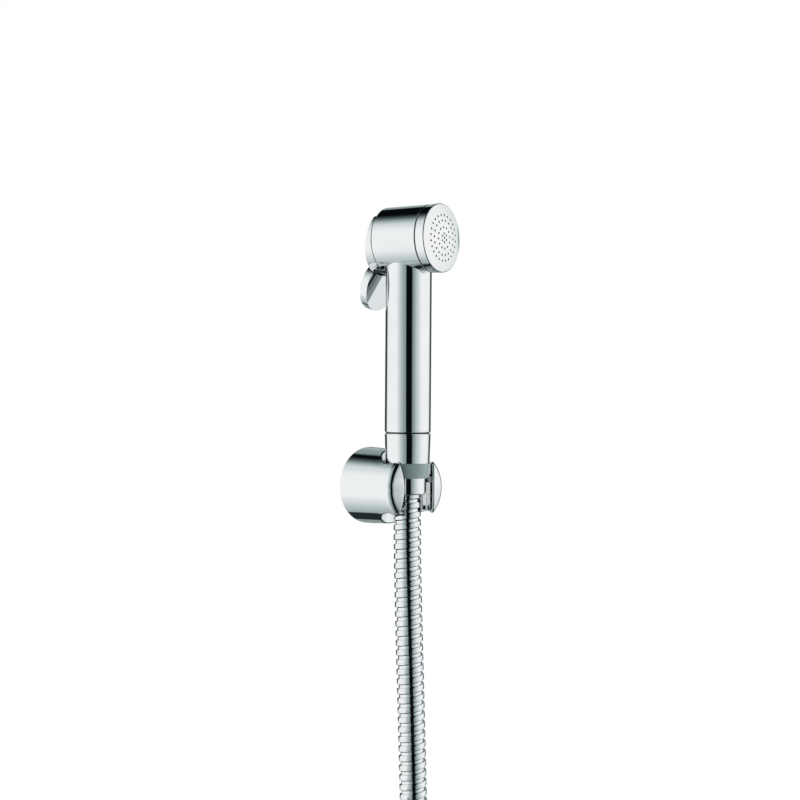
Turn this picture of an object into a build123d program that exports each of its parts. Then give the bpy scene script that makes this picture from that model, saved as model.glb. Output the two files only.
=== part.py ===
from build123d import *
import os
from math import pi, radians, sqrt, tan

os.makedirs("parts", exist_ok=True)

# A trigger hand shower standing in its wall holder, with its metal hose.
# Millimetres. The wall is the plane y = 0 and the room lies on the -Y side.
# The origin is on the wall, on the axis of the holder's barrel.

# Where the handset stands
handset_out = 30.4          # from the wall to the handset's upright axis
handset_turn = 15.4         # turned in its holder about that axis, in degrees
head_height = 127.0         # the head's level axis above the holder's axis

# Head and handle, one casting
head_back = 12.0            # from the handle's axis back to the head's flat end
back_radius = 17.1
seam_ahead = 14.3           # from the handle's axis forward to the cap's seam
seam_radius = 17.25
seam_gap = 0.4
seam_bevel = 0.35
rim_round = 0.5
handle_radius = 11.8
handle_foot = 28.1          # where the handle ends and the hose nut begins
groove_bevel = 0.7
handle_bore = 6.5
bore_crown = 9.0            # metal left between the handle's bore and the valve
port_radius = 3.8
relief_level = -13.7        # the flat under the head's back, from the head's axis
relief_reach = 6.4

# Spray cap, screwed on the head
cap_thread = 15.5
cap_thread_play = 0.1
cap_rim_ahead = 19.75
cap_radius = 17.5
cap_wall = 1.5
face_rise = 1.65            # how far the domed face stands out at its middle
cap_lip = 1.1               # flat behind the face that presses the gasket
gasket_thick = 1.0
gasket_inner = 12.6
hole_radius = 0.56
spray_ring_radii = (2.2, 5.4, 8.8, 11.6)
spray_ring_holes = (6, 12, 18, 24)
spray_ring_turns = (37, 8, 0, 11)        # angle of each ring's first hole

# Water way inside the head
chamber_radius = 10.0
chamber_back = 5.4          # back wall of the chamber behind the handle's axis
seat_back = 7.0
seat_thick = 3.5
seat_orifice = 4.5
seat_radius = 12.2
seat_bevel = 1.2
seat_play = 0.05
flow_disc_thick = 2.4
flow_disc_radius = 13.4
flow_holes = 8
flow_hole_ring = 7.4
flow_hole_radius = 1.5

# Valve stem, its bush and seals
stem_radius = 2.0
stem_neck = 1.3
stem_button_radius = 2.5
stem_button = 1.1
stem_button_back = 12.4     # back face of the button, from the handle's axis
stem_neck_end = 8.8
bush_radius = 4.2
bush_flange = 5.8
bush_flange_thick = 1.2
bush_play = 0.05
seal_wire = 0.62
seal_groove_half = 0.75
washer_thick = 2.8
washer_radius = 6.2
flange_thick = 1.4
rivet_thick = 1.0
rivet_radius = 2.6
spring_radius = 4.3
spring_wire = 0.35
spring_turns = 4

# Trigger: one lever that covers the head's back and ends in a thumb pad
lever_gap = 0.2             # between the head's flat back and the lever
lever_radius = 17.0
lever_top = 11.6            # the lever's top edge above the head's axis
lever_top_thick = 0.9
waist_level = -14.0
waist_thick = 5.7
pad_radius = 13.0
pad_drop = 23.4             # middle of the pad's near face below the head's axis
pad_front = 16.6            # and behind the handle's axis
pad_thick = 4.3
pad_tilt = 17.0             # its top leans ahead
pivot_back = 13.7
pivot_drop = 15.9
lug_radius = 2.3
lug_width = 6.0
ear_width = 1.8
hinge_play = 0.3
pin_radius = 1.25
pin_play = 0.03
boss_radius = 5.5
boss_reach = 2.5
recess_radius = 6.7
recess_depth = 3.4
slot_lip = 1.2
slot_depth = 3.8            # from the boss's front face to the slot's floor
slot_neck_width = 3.2
slot_wide_width = 6.0
slot_top = 3.2

# Hose nut at the handle: a threaded spigot, its washer and the cone nut
thread_radius = 10.45
thread_play = 0.05
thread_relief = 0.3         # undercut behind the thread, where washer and flange lie
spigot_length = 9.9
nut_top_radius = 11.75
nut_foot_radius = 11.3
nut_lip = 2.0
hose_washer_thick = 1.7
washer_hole = 5.0

# Hose ends
ferrule_radius = 9.6
ferrule_length = 8.4
ferrule_grip = 2.0          # how deep the hose sits in its ferrule
ferrule_round = 0.8
swivel_length = 7.5
swivel_top_radius = 11.1
swivel_foot_radius = 10.6
swivel_gap = 0.1
tail_radius = 6.0
tail_bore = 4.0
tail_neck = 7.9
tail_flange = 10.2
tail_flange_thick = 1.8
tail_play = 0.1

# Holder: a tapered barrel with a domed front, bored upright for the handset
barrel_wall_radius = 20.0
barrel_front_radius = 18.5   # where the side and the front would meet
barrel_length = 37.4
front_rise = 3.5
front_round = 4.0
cradle_radius = 12.8
cradle_round = 0.8
ledge_thick = 3.0
ledge_play = 0.3
ledge_back = 3.0            # the ledge starts this far behind the handset's axis
barrel_wall = 3.6           # round the wall plate
plate_recess_depth = 10.0

# Wall plate and its grub screw
plate_play = 0.3
plate_thick = 8.0
plate_screw_spread = 9.0
plate_screw_hole = 2.25
plate_countersink = 4.3
grub_radius = 2.5
grub_play = 0.05
grub_out = 4.5              # from the wall to the grub screw's axis
grub_length = 4.3
grub_dimple = 0.6
grub_socket = 1.2

# Hose
hose_radius = 7.0
hose_length = 1250.0
coil_radius = 75.0          # to the middle of its turns
coil_lanes = 2
lane_pitch = 14.2
tie_thick = 1.6
tie_width = 8.0
tie_play = 0.2
end_nut_length = 15.0
end_nut_flats = 24.0
end_nut_bevel = 0.8

# The handset's own directions
up = Vector(0, 0, 1)
side = Vector(1, 0, 0).rotate(Axis.Z, handset_turn)
ahead = Vector(0, -1, 0).rotate(Axis.Z, handset_turn)
foot = Vector(0, -handset_out, 0)
head_centre = foot + up * head_height
head_axis = Axis(head_centre, ahead)
handset_axis = Axis(foot, up)
lengthways = Plane(head_centre, x_dir=ahead, z_dir=-side)   # x ahead, y up
upright = Plane(foot, x_dir=side, z_dir=ahead)              # x to the side, y up


def level(height):
    """A level plane at this height on the handset's upright axis."""
    return Plane(foot + up * height, x_dir=side, z_dir=up)


def facing(forward):
    """A plane square to the head's axis, this far ahead of the handle's axis."""
    return Plane(head_centre + ahead * forward, x_dir=side, z_dir=ahead)


# Levels that more than one piece shares
spigot_foot = handle_foot - spigot_length
hose_washer_foot = spigot_foot - hose_washer_thick
nut_foot = hose_washer_foot - tail_flange_thick - tail_play - nut_lip
swivel_foot = nut_foot - swivel_gap - swivel_length
ferrule_foot = swivel_foot - ferrule_length
hose_top = ferrule_foot + ferrule_grip
cap_spigot_end = cap_rim_ahead - cap_lip - gasket_thick
cap_spigot_radius = cap_thread - cap_thread_play
plate_recess_radius = barrel_wall_radius - barrel_wall
flow_disc_back = cap_spigot_end - flow_disc_thick
washer_back = seat_back - washer_thick
flange_back = washer_back - flange_thick
bush_flange_front = -chamber_back + bush_flange_thick
recess_floor = -head_back + recess_depth
pivot = (-pivot_back, -pivot_drop)
lever_front = -head_back - lever_gap
boss_front = lever_front + boss_reach

# Head and handle
with BuildPart() as handset_body:
    with BuildSketch(lengthways):
        with BuildLine():
            Polyline(
                (-head_back, 0),
                (-head_back, back_radius),
                (seam_ahead, seam_radius),
                (seam_ahead, cap_spigot_radius),
                (cap_spigot_end, cap_spigot_radius),
                (cap_spigot_end, 0),
                close=True,
            )
        make_face()
    revolve(axis=head_axis)
    rims = handset_body.edges().filter_by(GeomType.CIRCLE).group_by(SortBy.RADIUS)
    chamfer(rims[-1], seam_bevel)
    fillet(rims[-2], rim_round)
    # Flat under the back of the head, where the trigger's hinge lies
    with BuildSketch(facing(-head_back)):
        with Locations((0, relief_level)):
            Rectangle(2 * back_radius, back_radius, align=(Align.CENTER, Align.MAX))
    extrude(amount=relief_reach, mode=Mode.SUBTRACT)
    # Handle with its threaded spigot
    with BuildSketch(level(handle_foot)):
        Circle(handle_radius)
    extrude(amount=head_height - handle_foot - bore_crown)
    chamfer(handset_body.edges().filter_by(GeomType.CIRCLE).sort_by(Axis.Z)[0], groove_bevel)
    with BuildSketch(level(spigot_foot)):
        Circle(thread_radius)
    extrude(amount=spigot_length)
    # Hinge lug behind the handle
    with BuildSketch(lengthways):
        with Locations(pivot):
            Circle(lug_radius)
            Rectangle(pivot_back - handle_radius / 2, 2 * lug_radius, align=(Align.MIN, Align.CENTER))
    extrude(amount=lug_width / 2, both=True)
    with BuildSketch(lengthways):
        with Locations(pivot):
            Circle(pin_radius)
    extrude(amount=lug_width / 2, both=True, mode=Mode.SUBTRACT)
    # Water way: bore of the handle, port, valve chamber and the front bores
    with BuildSketch(level(spigot_foot)):
        Circle(handle_bore)
    extrude(amount=head_height - chamber_radius - bore_crown / 2 - spigot_foot, mode=Mode.SUBTRACT)
    with BuildSketch(level(head_height - chamber_radius - bore_crown)):
        Circle(port_radius)
    extrude(amount=bore_crown + chamber_radius / 2, mode=Mode.SUBTRACT)
    with BuildSketch(lengthways):
        with BuildLine():
            Polyline(
                (-chamber_back, 0),
                (-chamber_back, chamber_radius),
                (seat_back, chamber_radius),
                (seat_back, seat_radius),
                (flow_disc_back, seat_radius),
                (flow_disc_back, flow_disc_radius),
                (cap_spigot_end, flow_disc_radius),
                (cap_spigot_end, 0),
                close=True,
            )
        make_face()
    revolve(axis=head_axis, mode=Mode.SUBTRACT)
    # Bush hole and the recess that the lever's boss moves in
    with BuildSketch(facing(-head_back)):
        Circle(bush_radius)
    extrude(amount=head_back, mode=Mode.SUBTRACT)
    with BuildSketch(facing(-head_back)):
        Circle(recess_radius)
    extrude(amount=recess_depth, mode=Mode.SUBTRACT)

handset_body.part.label = "handset_body"
export_step(handset_body.part, "parts/handset_body.step")

# Spray cap: threaded skirt and domed face in one, with rings of spray holes
face_crown = cap_rim_ahead + face_rise
with BuildPart() as spray_cap:
    with BuildSketch(lengthways) as cap_half:
        with BuildLine():
            Line((face_crown - cap_wall, 0), (face_crown, 0))
            RadiusArc(
                (face_crown, 0),
                (cap_rim_ahead, cap_radius),
                -(cap_radius**2 + face_rise**2) / (2 * face_rise),
            )
            Polyline(
                (cap_rim_ahead, cap_radius),
                (seam_ahead + seam_gap, seam_radius),
                (seam_ahead + seam_gap, cap_thread),
                (cap_rim_ahead - cap_lip, cap_thread),
                (cap_rim_ahead - cap_lip, gasket_inner),
            )
            RadiusArc(
                (cap_rim_ahead - cap_lip, gasket_inner),
                (face_crown - cap_wall, 0),
                (gasket_inner**2 + (face_rise + cap_lip - cap_wall) ** 2)
                / (2 * (face_rise + cap_lip - cap_wall)),
            )
        make_face()
        corners = cap_half.vertices().group_by(Axis.Y)[-1]
        fillet(corners, rim_round)
    revolve(axis=head_axis)
    with BuildSketch(facing(face_crown)):
        Circle(hole_radius)
        for ring_radius, count, first_angle in zip(spray_ring_radii, spray_ring_holes, spray_ring_turns):
            with PolarLocations(ring_radius, count, start_angle=first_angle):
                Circle(hole_radius)
    extrude(amount=-(face_rise + cap_wall), mode=Mode.SUBTRACT)

spray_cap.part.label = "spray_cap"
export_step(spray_cap.part, "parts/spray_cap.step")

# Flat gasket between the cap and the head's spigot
with BuildPart() as cap_gasket:
    with BuildSketch(facing(cap_spigot_end)):
        Circle(cap_spigot_radius)
        Circle(gasket_inner, mode=Mode.SUBTRACT)
    extrude(amount=gasket_thick)

cap_gasket.part.label = "cap_gasket"
export_step(cap_gasket.part, "parts/cap_gasket.step")

# Flow disc: spreads the water behind the face
with BuildPart() as flow_disc:
    with BuildSketch(facing(flow_disc_back)):
        Circle(flow_disc_radius - seat_play)
        with PolarLocations(flow_hole_ring, flow_holes):
            Circle(flow_hole_radius, mode=Mode.SUBTRACT)
    extrude(amount=flow_disc_thick)

flow_disc.part.label = "flow_disc"
export_step(flow_disc.part, "parts/flow_disc.step")

# Valve seat: a ring screwed into the head, which the stem's washer closes
with BuildPart() as valve_seat:
    with BuildSketch(facing(seat_back)):
        Circle(seat_radius - seat_play)
        Circle(seat_orifice, mode=Mode.SUBTRACT)
    extrude(amount=seat_thick)
    mouth = valve_seat.edges().filter_by(GeomType.CIRCLE).group_by(SortBy.RADIUS)[0]
    chamfer(mouth.sort_by(head_axis)[-1], seat_bevel)

valve_seat.part.label = "valve_seat"
export_step(valve_seat.part, "parts/valve_seat.step")

# Bush that guides the stem through the head's back wall, grooved for its seal
seal_middle = (recess_floor - chamber_back) / 2
with BuildPart() as stem_bush:
    with BuildSketch(lengthways):
        with BuildLine():
            Polyline(
                (recess_floor, stem_radius + bush_play),
                (recess_floor, bush_radius - bush_play),
                (-chamber_back, bush_radius - bush_play),
                (-chamber_back, bush_flange),
                (bush_flange_front, bush_flange),
                (bush_flange_front, stem_radius + bush_play),
                (seal_middle + seal_groove_half, stem_radius + bush_play),
                (seal_middle + seal_groove_half, stem_radius + bush_play + 2 * seal_wire),
                (seal_middle - seal_groove_half, stem_radius + bush_play + 2 * seal_wire),
                (seal_middle - seal_groove_half, stem_radius + bush_play),
                close=True,
            )
        make_face()
    revolve(axis=head_axis)

stem_bush.part.label = "stem_bush"
export_step(stem_bush.part, "parts/stem_bush.step")

# Round seal in the bush's groove
with BuildPart() as stem_seal:
    with BuildSketch(lengthways):
        with Locations((seal_middle, stem_radius + bush_play + seal_wire)):
            Circle(seal_wire)
    revolve(axis=head_axis)

stem_seal.part.label = "stem_seal"
export_step(stem_seal.part, "parts/stem_seal.step")

# Valve stem: button in the lever's slot, rod, flange and the rivet that holds the washer
with BuildPart() as valve_stem:
    with BuildSketch(lengthways):
        with BuildLine():
            Polyline(
                (-stem_button_back, 0),
                (-stem_button_back, stem_button_radius),
                (-stem_button_back + stem_button, stem_button_radius),
                (-stem_button_back + stem_button, stem_neck),
                (-stem_neck_end, stem_neck),
                (-stem_neck_end, stem_radius),
                (flange_back, stem_radius),
                (flange_back, washer_radius - bush_play),
                (washer_back, washer_radius - bush_play),
                (washer_back, stem_neck),
                (seat_back, stem_neck),
                (seat_back, rivet_radius),
                (seat_back + rivet_thick, rivet_radius),
                (seat_back + rivet_thick, 0),
                close=True,
            )
        make_face()
    revolve(axis=head_axis)

valve_stem.part.label = "valve_stem"
export_step(valve_stem.part, "parts/valve_stem.step")

# Rubber washer that closes the seat
with BuildPart() as valve_washer:
    with BuildSketch(facing(washer_back)):
        Circle(washer_radius)
        Circle(stem_neck + bush_play, mode=Mode.SUBTRACT)
    extrude(amount=washer_thick)

valve_washer.part.label = "valve_washer"
export_step(valve_washer.part, "parts/valve_washer.step")

# Spring that closes the valve and brings the trigger back
spring_length = flange_back - bush_flange_front - 2 * spring_wire
with BuildPart() as valve_spring:
    with BuildLine():
        coils = Helix(
            pitch=spring_length / spring_turns,
            height=spring_length,
            radius=spring_radius,
            center=head_centre + ahead * (bush_flange_front + spring_wire),
            direction=ahead,
        )
    with BuildSketch(Plane(coils @ 0, z_dir=coils % 0)):
        Circle(spring_wire)
    sweep()

valve_spring.part.label = "valve_spring"
export_step(valve_spring.part, "parts/valve_spring.step")

# Trigger lever: a disc against the head's back, wedge-shaped from the side, and the tilted pad
pad_slope = tan(radians(pad_tilt))
pad_facing = ahead - up * pad_slope
near_face_at_waist = (pad_drop + waist_level) * pad_slope - pad_front
near_face_at_foot = (pad_drop - lever_radius) * pad_slope - pad_front
lever_outer_waist = lever_front - waist_thick
with BuildPart() as lever:
    with BuildSketch(facing(-2 * pivot_back)):
        Circle(lever_radius)
    extrude(amount=2 * pivot_back + lever_front)
    with BuildSketch(lengthways):
        with BuildLine():
            Polyline(
                (lever_front, lever_top),
                (lever_front - lever_top_thick, lever_top),
                (lever_outer_waist, waist_level),
                (lever_outer_waist, -lever_radius),
                (near_face_at_foot, -lever_radius),
                (near_face_at_waist, waist_level),
                (lever_front, waist_level),
                close=True,
            )
        make_face()
    extrude(amount=lever_radius, both=True, mode=Mode.INTERSECT)
    with BuildSketch(Plane(head_centre - ahead * pad_front - up * pad_drop, x_dir=side, z_dir=pad_facing)):
        Circle(pad_radius)
    extrude(amount=-pad_thick)
    # Ears on both sides of the hinge lug, and the boss for the valve stem
    with BuildSketch(lengthways):
        with Locations(pivot):
            Circle(lug_radius)
    extrude(amount=lug_width / 2 + hinge_play + ear_width, both=True)
    with BuildSketch(facing(lever_front)):
        Circle(boss_radius)
    extrude(amount=boss_reach)
    # Room for the hinge lug, and the pin's hole
    with BuildSketch(lengthways):
        with Locations(pivot):
            Circle(lug_radius + hinge_play)
            Rectangle(
                pivot_back, 2 * (lug_radius + hinge_play), align=(Align.MIN, Align.CENTER)
            )
    extrude(amount=lug_width / 2 + hinge_play, both=True, mode=Mode.SUBTRACT)
    with BuildSketch(lengthways):
        with Locations(pivot):
            Circle(pin_radius + pin_play)
    extrude(amount=lever_radius, both=True, mode=Mode.SUBTRACT)
    # Undercut slot that takes the stem's button from below
    with BuildSketch(facing(boss_front - slot_depth)):
        with Locations((0, slot_top)):
            Rectangle(slot_wide_width, slot_top + boss_radius, align=(Align.CENTER, Align.MAX))
    extrude(amount=slot_depth - slot_lip, mode=Mode.SUBTRACT)
    with BuildSketch(facing(boss_front)):
        with Locations((0, slot_neck_width / 2)):
            Rectangle(
                slot_neck_width, slot_neck_width / 2 + boss_radius, align=(Align.CENTER, Align.MAX)
            )
    extrude(amount=-slot_lip, mode=Mode.SUBTRACT)

lever.part.label = "lever"
export_step(lever.part, "parts/lever.step")

# Hinge pin
with BuildPart() as lever_pin:
    with BuildSketch(lengthways):
        with Locations(pivot):
            Circle(pin_radius)
    extrude(amount=lug_width / 2 + hinge_play + ear_width, both=True)

lever_pin.part.label = "lever_pin"
export_step(lever_pin.part, "parts/lever_pin.step")


def hose_tail(seat, neck_start):
    """Flanged tail pressed into a hose end. The seat plane points out of the hose."""
    with BuildPart() as tail:
        neck_end = neck_start + nut_lip + 2 * tail_play
        with BuildSketch(seat):
            Circle(tail_radius)
        extrude(amount=neck_start)
        with BuildSketch(seat.offset(neck_start)):
            Circle(tail_neck)
        extrude(amount=neck_end - neck_start)
        with BuildSketch(seat.offset(neck_end)):
            Circle(tail_flange)
        extrude(amount=tail_flange_thick)
        with BuildSketch(seat):
            Circle(tail_bore)
        extrude(amount=neck_end + tail_flange_thick, mode=Mode.SUBTRACT)
    return tail.part


def hose_ferrule(seat):
    """Plain sleeve over the end of the hose. The seat plane points out of the hose."""
    with BuildPart() as ferrule:
        with BuildSketch(seat.offset(-ferrule_grip)):
            Circle(ferrule_radius)
        extrude(amount=ferrule_length)
        fillet(ferrule.edges().sort_by(Axis(seat.origin, seat.z_dir))[0], ferrule_round)
        with BuildSketch(seat.offset(-ferrule_grip)):
            Circle(hose_radius + tail_play)
        extrude(amount=ferrule_grip, mode=Mode.SUBTRACT)
        with BuildSketch(seat):
            Circle(tail_radius + tail_play)
        extrude(amount=ferrule_length, mode=Mode.SUBTRACT)
    return ferrule.part


def flat_washer(seat, outer):
    """Flat sealing washer standing on the seat plane."""
    with BuildPart() as washer:
        with BuildSketch(seat):
            Circle(outer)
            Circle(washer_hole, mode=Mode.SUBTRACT)
        extrude(amount=hose_washer_thick)
    return washer.part


# Cone nut that holds the hose on the handle
with BuildPart() as cone_nut:
    with BuildSketch(upright):
        with BuildLine():
            Polyline(
                (tail_neck + tail_play, nut_foot),
                (nut_foot_radius, nut_foot),
                (nut_top_radius, handle_foot - groove_bevel),
                (nut_top_radius - groove_bevel, handle_foot),
                (thread_radius + thread_play, handle_foot),
                (thread_radius + thread_play, nut_foot + nut_lip),
                (tail_neck + tail_play, nut_foot + nut_lip),
                close=True,
            )
        make_face()
    revolve(axis=handset_axis)

cone_nut.part.label = "cone_nut"
export_step(cone_nut.part, "parts/cone_nut.step")

# Tail, washer and ferrule at the handset's end of the hose
top_tail = hose_tail(level(hose_top), nut_foot - tail_play - hose_top)
top_tail.label = "hose_tail"
export_step(top_tail, "parts/hose_tail.step")

handle_washer = flat_washer(level(hose_washer_foot), thread_radius - thread_play)
handle_washer.label = "handle_washer"
export_step(handle_washer, "parts/handle_washer.step")

top_ferrule = hose_ferrule(level(hose_top))
top_ferrule.label = "hose_ferrule"
export_step(top_ferrule, "parts/hose_ferrule.step")

# Plastic swivel ring between the nut and the ferrule
with BuildPart() as swivel_ring:
    with BuildSketch(upright):
        with BuildLine():
            Polyline(
                (tail_radius + tail_play, swivel_foot),
                (swivel_foot_radius, swivel_foot),
                (swivel_top_radius, swivel_foot + swivel_length),
                (tail_radius + tail_play, swivel_foot + swivel_length),
                close=True,
            )
        make_face()
    revolve(axis=handset_axis)

swivel_ring.part.label = "swivel_ring"
export_step(swivel_ring.part, "parts/swivel_ring.step")

# Holder
outward = Vector(0, -1, 0)
holder_axis = Axis((0, 0, 0), outward)
holder_section = Plane((0, 0, 0), x_dir=outward, z_dir=(-1, 0, 0))   # x outward, y up


def square_to_wall(out):
    """A plane parallel to the wall, this far out from it."""
    return Plane(outward * out, x_dir=(1, 0, 0), z_dir=outward)


with BuildPart() as holder_body:
    with BuildSketch(holder_section) as holder_half:
        with BuildLine():
            Polyline(
                (barrel_length + front_rise, 0),
                (plate_recess_depth, 0),
                (plate_recess_depth, plate_recess_radius),
                (0, plate_recess_radius),
                (0, barrel_wall_radius),
                (barrel_length, barrel_front_radius),
            )
            RadiusArc(
                (barrel_length, barrel_front_radius),
                (barrel_length + front_rise, 0),
                (barrel_front_radius**2 + front_rise**2) / (2 * front_rise),
            )
        make_face()
        rim_corner = holder_half.vertices().sort_by_distance((barrel_length, barrel_front_radius))[0]
        fillet(rim_corner, front_round)
    revolve(axis=holder_axis)
    # Upright cradle for the handset, open at the front
    with BuildSketch(level(0)):
        Circle(cradle_radius)
    extrude(amount=barrel_wall_radius + barrel_front_radius, both=True, mode=Mode.SUBTRACT)
    cradle_wall = holder_body.faces(Select.LAST).filter_by(GeomType.CYLINDER)
    fillet(cradle_wall.edges(), cradle_round)
    # Ledge at the back of the cradle, which the swivel ring stands on
    with BuildSketch(Plane((0, -handset_out, swivel_foot - ledge_thick))):
        Circle(cradle_radius + ledge_play)
        Circle(ferrule_radius + ledge_play, mode=Mode.SUBTRACT)
        with Locations((0, ledge_back)):
            Rectangle(4 * cradle_radius, 2 * cradle_radius, align=(Align.CENTER, Align.MAX), mode=Mode.SUBTRACT)
    extrude(amount=ledge_thick)
    # Threaded hole for the grub screw
    with BuildSketch(Plane((0, -grub_out, -2 * barrel_wall_radius))):
        Circle(grub_radius + grub_play)
    extrude(amount=2 * barrel_wall_radius, mode=Mode.SUBTRACT)

holder_body.part.label = "holder_body"
export_step(holder_body.part, "parts/holder_body.step")

# Wall plate: a disc screwed to the wall, which the holder slides over
plate_radius = plate_recess_radius - plate_play
with BuildPart() as wall_plate:
    with BuildSketch(square_to_wall(0)):
        Circle(plate_radius)
    extrude(amount=plate_thick)
    with Locations(square_to_wall(plate_thick)):
        with Locations((-plate_screw_spread, 0), (plate_screw_spread, 0)):
            CounterSinkHole(plate_screw_hole, plate_countersink)
    with BuildSketch(Plane((0, -grub_out, -2 * plate_radius))):
        Circle(grub_radius + grub_play)
    extrude(amount=plate_radius + grub_dimple, mode=Mode.SUBTRACT)

wall_plate.part.label = "wall_plate"
export_step(wall_plate.part, "parts/wall_plate.step")

# Grub screw from below, through the holder into the plate
grub_top = -plate_radius + grub_dimple
with BuildPart() as grub_screw:
    with BuildSketch(Plane((0, -grub_out, grub_top - grub_length))):
        Circle(grub_radius)
    extrude(amount=grub_length)
    with BuildSketch(Plane((0, -grub_out, grub_top - grub_length))):
        RegularPolygon(grub_socket, 6)
    extrude(amount=grub_length / 2, mode=Mode.SUBTRACT)

grub_screw.part.label = "grub_screw"
export_step(grub_screw.part, "parts/grub_screw.step")

# Hose. Its first stretch hangs from the ferrule and leans a little to the right.
# The rest is wound in two turns, side by side, that hang below it, and the last
# stretch comes down beside them to the free nut.
coil_right = Vector(5.0, -34.8, -258.0)     # the coil's right side, where the hose joins it
route = [
    Vector(0, -handset_out, hose_top),
    Vector(0, -handset_out, -25.0),
    Vector(1.0, -31.3, -72.0),
    Vector(2.6, -32.5, -132.0),
    Vector(4.2, -33.7, -195.0),
    coil_right,
]
coil_centre = coil_right - Vector(coil_radius, 0, 0)
front_lane = coil_right.Y - lane_pitch * (coil_lanes - 1)
left_over = [
    coil_centre + Vector(-17.7, 0, coil_radius),
    coil_centre + Vector(17.7, 0, coil_radius),
    coil_centre + Vector(50.4, 0, 61.5),
    coil_centre + Vector(75.4, 0, 36.4),
    coil_centre + Vector(89.4, 0, 3.7),
    coil_centre + Vector(89.4, 0, -42.0),
]
left_over = [Vector(point.X, front_lane, point.Z) for point in left_over]


def corner_radii(points):
    """Bend radius at each corner of a route, as large as its two runs allow."""
    radii = []
    for before, corner, after in zip(points, points[1:], points[2:]):
        turn = radians((corner - before).get_angle(after - corner))
        shorter = min((corner - before).length, (after - corner).length)
        radii.append(0.45 * shorter / tan(turn / 2))
    return radii


def hose_stretch(points):
    """A round hose along straight runs joined by tangent arcs."""
    with BuildPart() as stretch:
        with BuildLine() as line:
            FilletPolyline(*points, radius=corner_radii(points))
        with BuildSketch(Plane(points[0], z_dir=points[1] - points[0])):
            Circle(hose_radius)
        sweep(path=line.wire())
    length = line.wire().length
    print("bend radii", [round(radius) for radius in corner_radii(points)], "length", round(length, 1))
    print("volume over section times length", round(stretch.part.volume / (pi * hose_radius**2 * length), 4))
    return stretch.part, length


hose, hose_run = hose_stretch(route)
hose.label = "hose"
export_step(hose, "parts/hose.step")

hose_end, end_run = hose_stretch(left_over)
hose_end.label = "hose_end"
export_step(hose_end, "parts/hose_end.step")

# The coil: two whole turns less the last quarter, in the outline of both lanes
coil_axis = Axis(coil_centre, (0, 1, 0))
lanes_wide = 2 * hose_radius + lane_pitch * (coil_lanes - 1)
lanes_middle = (coil_right.Y + front_lane) / 2
with BuildPart() as hose_coil:
    with BuildSketch(Plane((coil_right.X, lanes_middle, coil_right.Z), x_dir=(0, 1, 0), z_dir=(0, 0, 1))):
        SlotOverall(lanes_wide, 2 * hose_radius)
    revolve(axis=coil_axis)

hose_coil.part.label = "hose_coil"
export_step(hose_coil.part, "parts/hose_coil.step")
coiled = 2 * pi * coil_radius * (coil_lanes - 0.25)
print("hose length", round(hose_run + coiled + end_run + left_over[0].X - coil_centre.X, 1), "of", hose_length)

# Tie round both lanes, at the coil's left side
with BuildPart() as coil_tie:
    left_side = Plane(
        (coil_centre.X - coil_radius, lanes_middle, coil_centre.Z - tie_width / 2),
        x_dir=(0, 1, 0),
        z_dir=(0, 0, 1),
    )
    with BuildSketch(left_side):
        SlotOverall(lanes_wide + 2 * (tie_play + tie_thick), 2 * (hose_radius + tie_play + tie_thick))
        SlotOverall(lanes_wide + 2 * tie_play, 2 * (hose_radius + tie_play), mode=Mode.SUBTRACT)
    extrude(amount=tie_width)

coil_tie.part.label = "coil_tie"
export_step(coil_tie.part, "parts/coil_tie.step")

# Far end of the hose: ferrule, tail, washer and the free hexagon nut
far_seat = Plane(left_over[-1], x_dir=(1, 0, 0), z_dir=left_over[-1] - left_over[-2])
far_neck = ferrule_length - ferrule_grip + tail_play
far_flange = far_neck + nut_lip + 2 * tail_play
end_tail = hose_tail(far_seat, far_neck)
end_tail.label = "end_tail"
export_step(end_tail, "parts/end_tail.step")

end_ferrule = hose_ferrule(far_seat)
end_ferrule.label = "end_ferrule"
export_step(end_ferrule, "parts/end_ferrule.step")

end_washer = flat_washer(far_seat.offset(far_flange + tail_flange_thick), thread_radius - thread_play)
end_washer.label = "end_washer"
export_step(end_washer, "parts/end_washer.step")

nut_start = far_neck + tail_play
nut_seat = far_seat.offset(nut_start)
far_thread_start = far_flange + tail_flange_thick + hose_washer_thick + tail_play - nut_start
with BuildPart() as end_nut:
    with BuildSketch(nut_seat):
        Circle(end_nut_flats / sqrt(3))
    extrude(amount=end_nut_length)
    chamfer(end_nut.edges().filter_by(GeomType.CIRCLE), end_nut_bevel)
    with BuildSketch(nut_seat):
        RegularPolygon(end_nut_flats / 2, 6, major_radius=False)
    extrude(amount=end_nut_length, mode=Mode.INTERSECT)
    with BuildSketch(nut_seat):
        Circle(tail_neck + tail_play)
    extrude(amount=nut_lip, mode=Mode.SUBTRACT)
    with BuildSketch(nut_seat.offset(nut_lip)):
        Circle(thread_radius + thread_play)
    extrude(amount=end_nut_length - nut_lip, mode=Mode.SUBTRACT)
    with BuildSketch(nut_seat.offset(nut_lip)):
        Circle(thread_radius + thread_relief)
    extrude(amount=far_thread_start - nut_lip, mode=Mode.SUBTRACT)

end_nut.part.label = "end_nut"
export_step(end_nut.part, "parts/end_nut.step")
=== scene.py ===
# %% [markdown]
# A hand shower in its wall holder, dressed for its portrait.
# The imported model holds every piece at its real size, so this lesson only has to give the
# pieces their surfaces, make the metal hose that hangs from the handset, and build a small
# photo studio round them. Polished metal has hardly a colour of its own: what it mirrors is
# what we see, so the studio gets as much care as the metal.

import math

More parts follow.
